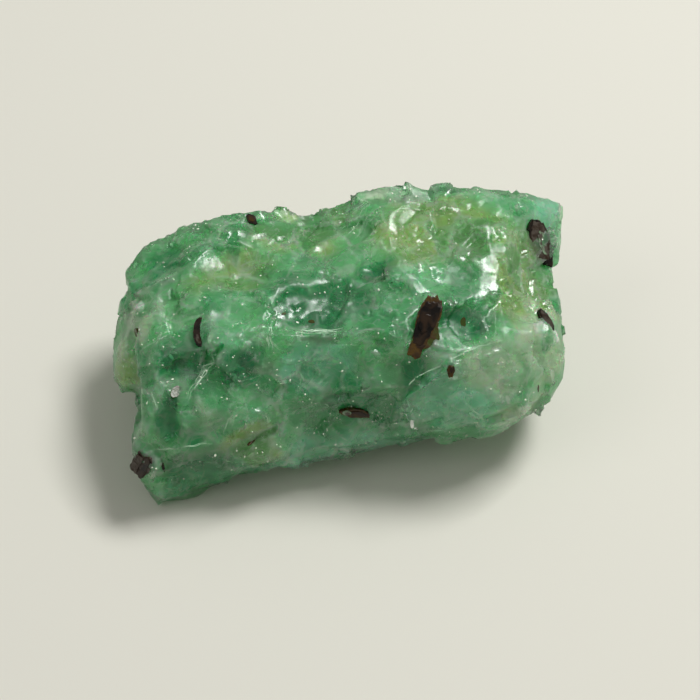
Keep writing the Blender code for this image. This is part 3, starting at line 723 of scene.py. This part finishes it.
def splinter_tree(skin):
    """Geometry Nodes: crumbs strewn in the rough places of the skin."""
    tree, start = new_geometry_tree("splinters", [("Density", "Float"), ("Smallest", "Float"),
                                                  ("Largest", "Float"), ("Seed", "Int")])
    here = vector(tree, "SCALE", add_node(tree, "GeometryNodeInputPosition").outputs[0], 1.0 / MM)
    foot = add_node(tree, "ShaderNodeSeparateXYZ", {}, {0: here}).outputs[2]
    flocks = add_node(tree, "ShaderNodeTexNoise", {},
                      {"Vector": here, "Scale": 0.7, "Detail": 3.0}).outputs[0]
    often = times(tree, spread(tree, flocks, 0.44, 0.64, 0.05, 1.0), spread(tree, foot, 1.0, 3.0))
    spots = add_node(tree, "GeometryNodeDistributePointsOnFaces", {},
                     {"Mesh": start["Geometry"], "Density": times(tree, start["Density"], often),
                      "Seed": start["Seed"]})
    crumb = add_node(tree, "GeometryNodeMeshIcoSphere", {}, {"Radius": 1.0 * MM, "Subdivisions": 1})
    size = add_node(tree, "FunctionNodeRandomValue", {"data_type": "FLOAT"},
                    {2: 0.0, 3: 1.0, "Seed": start["Seed"]}).outputs[1]
    size = maths(tree, "POWER", size, 3.0)
    size = maths(tree, "MULTIPLY_ADD", size, maths(tree, "SUBTRACT", start["Largest"], start["Smallest"]),
                 start["Smallest"])
    form = add_node(tree, "FunctionNodeRandomValue", {"data_type": "FLOAT_VECTOR"},
                    {"Min": (0.5, 0.5, 0.4), "Max": (1.6, 1.0, 0.8), "Seed": start["Seed"]}).outputs[0]
    turn = add_node(tree, "FunctionNodeRandomValue", {"data_type": "FLOAT_VECTOR"},
                    {"Min": (-3.1, -3.1, -3.1), "Max": (3.1, 3.1, 3.1), "Seed": start["Seed"]}).outputs[0]
    placed = add_node(tree, "GeometryNodeInstanceOnPoints", {},
                      {"Points": spots.outputs["Points"], "Instance": crumb.outputs["Mesh"],
                       "Rotation": turn, "Scale": vector(tree, "SCALE", form, size)}).outputs[0]
    return close_geometry_tree(tree, placed, skin)


# Crumbs of crushed beryl; their white is partly painted sparkle for tiny glints.
splinters = skin_copy("splinters")
grown(splinters, splinter_tree(plain_material("crushed beryl, white, partly painted sparkle", linear("#f4f8e6"), 0.25)),
      {"Density": 9.0e6, "Smallest": 0.012, "Largest": 0.075, "Seed": 6})
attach(splinters, "root")

# ---- The mica
# Real: books of dark phlogopite, thin sheets that the beryl grew round. The sheets shine like dark foil
# where they lie flat, and go golden brown where few lie on each other.

MICA_BLACK = linear("#100c09")
MICA_BROWN = linear("#2c1e12")
# Grey: partly the mica's own tone, partly a painted sheen on sheets that lie flat.
MICA_GREY_AND_PAINTED_SHEEN = linear("#4c443c")
MICA_GOLD = linear("#4c3816")
MICA_OLIVE = linear("#46541c")
BERYL_CORE = linear("#7f9a7c")
MICA_IOR = 1.58
MICA_SHINE = 0.2
SHEET = 0.035  # how much one cleaved sheet stands over the next


def mica_material(name, first, second, roughness, patch, **more):
    """Two tones of one mica in patches, with a gloss and a bump that follow the same patches."""
    skin, tree, place = new_material(name)
    patches = add_node(tree, "ShaderNodeTexNoise", {"noise_dimensions": "3D"},
                       {"Vector": place, "Scale": 1.0 / patch, "Detail": 4.0, "Distortion": 0.6}).outputs[0]
    share = add_node(tree, "ShaderNodeMapRange", {},
                     {"Value": patches, "From Min": 0.42, "From Max": 0.60}).outputs[0]
    colour = blend(tree, share, first, second)
    bump = add_node(tree, "ShaderNodeBump", {}, {"Height": patches, "Distance": 0.05 * MM, "Strength": 0.8})
    gloss = add_node(tree, "ShaderNodeMapRange", {}, {"Value": patches, "To Min": roughness * 0.5,
                                                      "To Max": roughness * 1.5}).outputs[0]
    shader = add_node(tree, "ShaderNodeBsdfPrincipled", {}, {
        "Base Color": colour, "Roughness": gloss, "IOR": MICA_IOR, "Specular IOR Level": MICA_SHINE,
        "Normal": bump.outputs[0], **more})
    add_node(tree, "ShaderNodeOutputMaterial", {}, {"Surface": shader.outputs[0]})
    return skin


MICA_SKINS = [
    mica_material("phlogopite, black and glossy", MICA_BLACK, MICA_BROWN, 0.3, 0.6),
    mica_material("phlogopite, grey foil and painted sheen", MICA_GREY_AND_PAINTED_SHEEN, MICA_BROWN, 0.35, 0.25),
    mica_material("phlogopite, thin and golden brown", MICA_GOLD, MICA_BROWN, 0.3, 0.3),
    mica_material("phlogopite, seen through beryl", MICA_OLIVE, MICA_GOLD, 0.3, 0.4,
                  **{"Transmission Weight": 0.3}),
    mica_material("beryl between mica sheets", BERYL_CORE, MICA_GREY_AND_PAINTED_SHEEN, 0.3, 0.3),
]
BLACK, GREY, GOLD, OLIVE, CORE = range(5)

# Each book's sheets from the lowest up: the kind, the outline as (along, left, right) in mm, how far the
# sheet's middle is moved across and along, and how it leans across and along, in degrees.
BOOKS = {
    "mica_large": [
        (OLIVE, ((-1.1, 0.1, 0.3), (-0.8, 0.2, 0.75), (-0.2, 0.2, 0.85), (0.4, 0.2, 0.55),
         (0.7, 0.1, 0.2)), (0.0, 0.0), (4, 0)),
        (GOLD, ((-1.62, 0.06, 0.06), (-1.45, 0.28, 0.30), (-1.0, 0.33, 0.34), (-0.5, 0.36, 0.42),
         (0.1, 0.46, 0.52), (0.7, 0.52, 0.58), (1.15, 0.46, 0.54), (1.45, 0.28, 0.34),
         (1.62, 0.05, 0.06)), (0, 0), (0, 0)),
        (BLACK, ((-1.0, 0.2, 0.1), (-0.8, 0.30, 0.26), (-0.4, 0.34, 0.36), (0.1, 0.42, 0.46),
         (0.7, 0.46, 0.50), (1.1, 0.36, 0.42), (1.35, 0.1, 0.1)), (0, 0), (2, 1)),
        (GREY, ((0.75, 0.1, 0.15), (0.95, 0.32, 0.45), (1.2, 0.36, 0.44), (1.42, 0.22, 0.26),
         (1.55, 0.05, 0.05)), (0, 0), (5, -4)),
        (BLACK, ((-0.35, 0.05, 0.05), (-0.15, 0.26, 0.2), (0.3, 0.3, 0.28), (0.55, 0.12, 0.16)), (0, 0),
         (-4, 3)),
    ],
    "mica_right_end": [
        (BLACK, ((-1.45, 0.05, 0.05), (-1.1, 0.30, 0.36), (-0.7, 0.62, 0.48), (-0.1, 0.72, 0.60),
         (0.5, 0.60, 0.66), (0.95, 0.42, 0.52), (1.28, 0.05, 0.08)), (0, 0), (0, 0)),
        (GREY, ((-1.0, 0.05, 0.1), (-0.7, 0.46, 0.40), (-0.1, 0.60, 0.52), (0.5, 0.52, 0.56),
         (0.9, 0.3, 0.4), (1.1, 0.04, 0.06)), (0, 0), (2, 0)),
        (CORE, ((-0.75, 0.05, 0.05), (-0.5, 0.26, 0.24), (0.0, 0.34, 0.30), (0.45, 0.20, 0.26),
         (0.62, 0.03, 0.03)), (0.06, -0.1), (-3, 3)),
    ],
    "mica_left_corner": [
        (GREY, ((-0.74, 0.2, 0.2), (-0.6, 0.46, 0.44), (0.0, 0.52, 0.50), (0.6, 0.44, 0.48),
         (0.74, 0.2, 0.3)), (0, 0), (0, 0)),
        (BLACK, ((-0.7, 0.05, 0.2), (0.0, 0.04, 0.22), (0.7, 0.06, 0.22)), (0.16, 0), (6, 0)),
        (GREY, ((-0.6, 0.3, 0.05), (0.0, 0.36, 0.02), (0.55, 0.3, 0.04)), (-0.06, 0), (-5, 0)),
    ],
    "mica_curved": [
        (BLACK, ((-0.78, 0.05, 0.05), (-0.6, 0.17, 0.17), (0.0, 0.16, 0.16), (0.6, 0.15, 0.14),
         (0.78, 0.04, 0.04)), (0, 0), (0, 0)),
        (GREY, ((-0.7, 0.04, 0.06), (-0.5, 0.12, 0.1), (-0.2, 0.04, 0.04)), (0, 0), (4, 2)),
    ],
    "mica_right_edge": [
        (BLACK, ((-0.62, 0.04, 0.04), (-0.3, 0.18, 0.22), (0.2, 0.24, 0.22), (0.6, 0.06, 0.1)), (0, 0),
         (0, 0)),
        (GREY, ((-0.5, 0.03, 0.03), (-0.2, 0.12, 0.18), (0.2, 0.16, 0.16), (0.5, 0.04, 0.05)), (0, 0),
         (3, 2)),
    ],
    "mica_back_edge": [
        (BLACK, ((-0.38, 0.05, 0.08), (0.0, 0.24, 0.24), (0.36, 0.1, 0.06)), (0, 0), (0, 0)),
        (GOLD, ((-0.2, 0.05, 0.08), (0.0, 0.14, 0.1), (0.25, 0.04, 0.06)), (0, 0), (3, 0)),
    ],
    "mica_speck": [
        (GOLD, ((-0.3, 0.08, 0.1), (0.0, 0.2, 0.18), (0.28, 0.1, 0.1)), (0, 0), (0, 0)),
        (BLACK, ((-0.05, 0.03, 0.05), (0.1, 0.1, 0.12), (0.22, 0.04, 0.04)), (0, 0), (4, 3)),
    ],
    "mica_cluster": [
        (GOLD, ((-0.75, 0.05, 0.08), (-0.4, 0.2, 0.28), (0.1, 0.3, 0.24), (0.5, 0.2, 0.12),
         (0.75, 0.04, 0.06)), (0, 0), (0, 0)),
        (BLACK, ((-0.6, 0.03, 0.05), (-0.3, 0.12, 0.12), (0.0, 0.08, 0.1), (0.2, 0.03, 0.02)),
         (0.05, 0), (4, 3)),
        (CORE, ((0.2, 0.04, 0.05), (0.4, 0.2, 0.16), (0.62, 0.06, 0.06)), (0, 0), (3, -3)),
    ],
}
BENDS = {"mica_curved": -0.20, "mica_cluster": 0.12}
RAGGED = 0.10  # how far a sheet's outline wanders, as a part of its reach
SHEET_POINTS = 44
SHEET_SINK = 0.02  # how far the lowest sheet's face lies under the flake's own
BOOK_ROOT = 0.25  # how deep the lowest sheet goes


def sheet_outline(profile, seed):
    """The corners of one sheet, round its profile of (along, left, right), with a ragged edge."""
    knots = [Vector((right, along, 0.0)) for along, left, right in profile]
    knots += [Vector((-left, along, 0.0)) for along, left, right in reversed(profile)]
    middle = sum(knots, Vector()) / len(knots)
    count = len(knots)
    corners = []
    for i in range(SHEET_POINTS):
        step = i / SHEET_POINTS * count
        near, share = int(step), step - int(step)
        spot = knots[near % count].lerp(knots[(near + 1) % count], share)
        wander = noise.noise(spot * 4.0 + Vector((seed, seed * 3.1, 0.0)))
        wander += 0.5 * noise.noise(spot * 11.0 + Vector((seed * 2.3, 0.0, seed)))
        corners.append(middle + (spot - middle) * (1.0 + RAGGED * 2 * wander))
    return corners


def add_sheet(form, place, corners, top, lean, bend, length, kind, depth):
    """Adds one closed sheet, from under the skin up to its own ledge."""
    rings = []
    for scale, height in ((0.97, top - depth), (1.0, top - 0.3 * SHEET), (0.965, top)):
        ring = []
        for corner in corners:
            x, y = corner.x * scale, corner.y * scale
            z = height + math.tan(math.radians(lean[0])) * x + math.tan(math.radians(lean[1])) * y
            x += bend * (1.0 - (2 * y / length) ** 2)
            ring.append(form.verts.new(place @ Vector((x, y, z)) * MM))
        rings.append(ring)
    count = len(corners)
    for near, far in zip(rings, rings[1:]):
        for i in range(count):
            j = (i + 1) % count
            form.faces.new((near[i], near[j], far[j], far[i])).material_index = kind
    for ring in (rings[0], rings[-1]):
        form.faces.new(ring).material_index = kind


def mica_book(node):
    """A flake as a book of cleaved sheets in the seat of its CAD node."""
    place, size = seat_of(node)
    form = bmesh.new()
    for number, (kind, profile, shift, lean) in enumerate(BOOKS[node]):
        corners = sheet_outline(profile, number + len(node))
        corners = [corner + Vector((*shift, 0.0)) for corner in corners]
        depth = BOOK_ROOT if number == 0 else 2 * SHEET + 0.03
        top = number * SHEET - SHEET_SINK
        add_sheet(form, place, corners, top, lean, BENDS.get(node, 0.0), size[1], kind, depth)
    bmesh.ops.recalc_face_normals(form, faces=form.faces)
    bmesh.ops.triangulate(form, faces=[f for f in form.faces if len(f.verts) > 4])
    book = mesh_object(node + "_book", form)
    for skin in MICA_SKINS:
        book.data.materials.append(skin)
    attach(book, "root")
    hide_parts(node)


for name in MICA_NODES:
    mica_book(name)

# ---- The small specks
# Real: splinters of the same mica, too small for a pocket of their own, lying at or just under the skin.

# Outline of a speck, as (along, left, right) in half lengths and half widths.
LENS = ((-1.0, 0.0, 0.0), (-0.8, 0.55, 0.6), (-0.3, 0.95, 0.9), (0.25, 1.0, 0.95), (0.75, 0.65, 0.7),
        (1.0, 0.0, 0.0))

# Each speck: where, its length and width in mm, the way it runs, and its kind.
SPECKS = {
    "sliver": ((-10.72, -0.07, 6.84), 1.0, 0.30, (1.0, 0.5, 0.2), OLIVE),
    "ring spot": ((-9.0, -3.68, 6.52), 0.8, 0.45, (1.0, 0.6, 0.6), OLIVE),
    "golden streak": ((-5.65, -5.3, 4.08), 0.9, 0.14, (1.0, 0.0, -0.1), GOLD),
    "dark streak": ((-10.2, -5.4, 3.2), 0.75, 0.20, (0.3, 0.0, 1.0), BLACK),
    "hollow spot": ((4.95, -3.1, 8.43), 0.55, 0.28, (0.2, 1.0, 0.3), OLIVE),
    "right streak": ((8.4, -5.33, 5.39), 0.45, 0.10, (0.2, 0.0, 1.0), GOLD),
    "bowl spot left": ((-3.5, -1.4, 8.5), 0.3, 0.15, (1.0, 0.4, 0.0), OLIVE),
    "bowl spot middle": ((-2.2, -1.9, 8.4), 0.35, 0.2, (1.0, -0.6, 0.0), OLIVE),
}


def add_speck(form, at, length, width, run, kind, seed):
    """Adds one speck of mica, half sunk in the skin."""
    spot, out = on_skin(at)
    along = (Vector(run) - out * out.dot(Vector(run))).normalized()
    place = Matrix.Translation(spot) @ Matrix((along.cross(out), along, out)).transposed().to_4x4()
    profile = [(y * length / 2, left * width / 2, right * width / 2) for y, left, right in LENS]
    add_sheet(form, place, sheet_outline(profile, seed), 0.02, (0, 0), 0.0, length, kind, 0.12)


form = bmesh.new()
for number, speck in enumerate(SPECKS.values()):
    add_speck(form, *speck, number + 20)
bmesh.ops.recalc_face_normals(form, faces=form.faces)
bmesh.ops.triangulate(form, faces=[f for f in form.faces if len(f.verts) > 4])
specks = mesh_object("mica_specks", form)
for skin in MICA_SKINS:
    specks.data.materials.append(skin)
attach(specks, "root")

# ---- The place where it lies: a pale floor, soft light and the camera

floor_form = bmesh.new()
bmesh.ops.create_grid(floor_form, x_segments=1, y_segments=1, size=1.5)
floor = mesh_object("pale_floor", floor_form)
paper = bpy.data.materials.new("pale matt paper")
paper.use_nodes = True
paper.node_tree.nodes["Principled BSDF"].inputs["Base Color"].default_value = linear("#dfddd2")
paper.node_tree.nodes["Principled BSDF"].inputs["Roughness"].default_value = 0.9
floor.data.materials.append(paper)


LIGHT_AIM = Vector((0.0, 0.0, 4.0))


def soft_light(name, at, size, power):
    """A soft box at a point in mm, turned towards the stone."""
    lamp = bpy.data.lights.new(name, "AREA")
    lamp.shape = "RECTANGLE"
    lamp.size, lamp.size_y = (side * MM for side in size)
    lamp.energy = power
    thing = bpy.data.objects.new(name, lamp)
    bpy.context.scene.collection.objects.link(thing)
    thing.location = Vector(at) * MM
    thing.rotation_mode = "QUATERNION"
    thing.rotation_quaternion = (LIGHT_AIM - Vector(at)).to_track_quat("-Z", "Y")


soft_light("window behind", (130.0, 60.0, 250.0), (110.0, 80.0), 0.66)
soft_light("fill at the left", (-240.0, -60.0, 240.0), (160.0, 160.0), 0.10)
world = bpy.data.worlds.new("pale room")
bpy.context.scene.world = world
world.use_nodes = True
world.node_tree.nodes["Background"].inputs["Color"].default_value = linear("#f3f3ee")
world.node_tree.nodes["Background"].inputs["Strength"].default_value = 0.31

VIEW_AIM = Vector((-0.122, -0.56, 4.275))  # the middle of the picture
VIEW_AZIMUTH, VIEW_ELEVATION = -9.0, 50.0
VIEW_DISTANCE = 97.2
VIEW_WIDTH = 35.0  # width of the picture at the aim

camera = bpy.data.objects.new("camera", bpy.data.cameras.new("camera"))
bpy.context.scene.collection.objects.link(camera)
azimuth, elevation = math.radians(VIEW_AZIMUTH), math.radians(VIEW_ELEVATION)
back = Vector((math.sin(azimuth) * math.cos(elevation), -math.cos(azimuth) * math.cos(elevation),
               math.sin(elevation)))
camera.data.sensor_width = 36.0
camera.data.lens = 36.0 * VIEW_DISTANCE / VIEW_WIDTH
camera.data.clip_start = 1.0 * MM
camera.location = (VIEW_AIM + back * VIEW_DISTANCE) * MM
camera.rotation_mode = "QUATERNION"
camera.rotation_quaternion = (-back).to_track_quat("-Z", "Y")
bpy.context.scene.camera = camera
bpy.context.scene.view_settings.view_transform = "Standard"
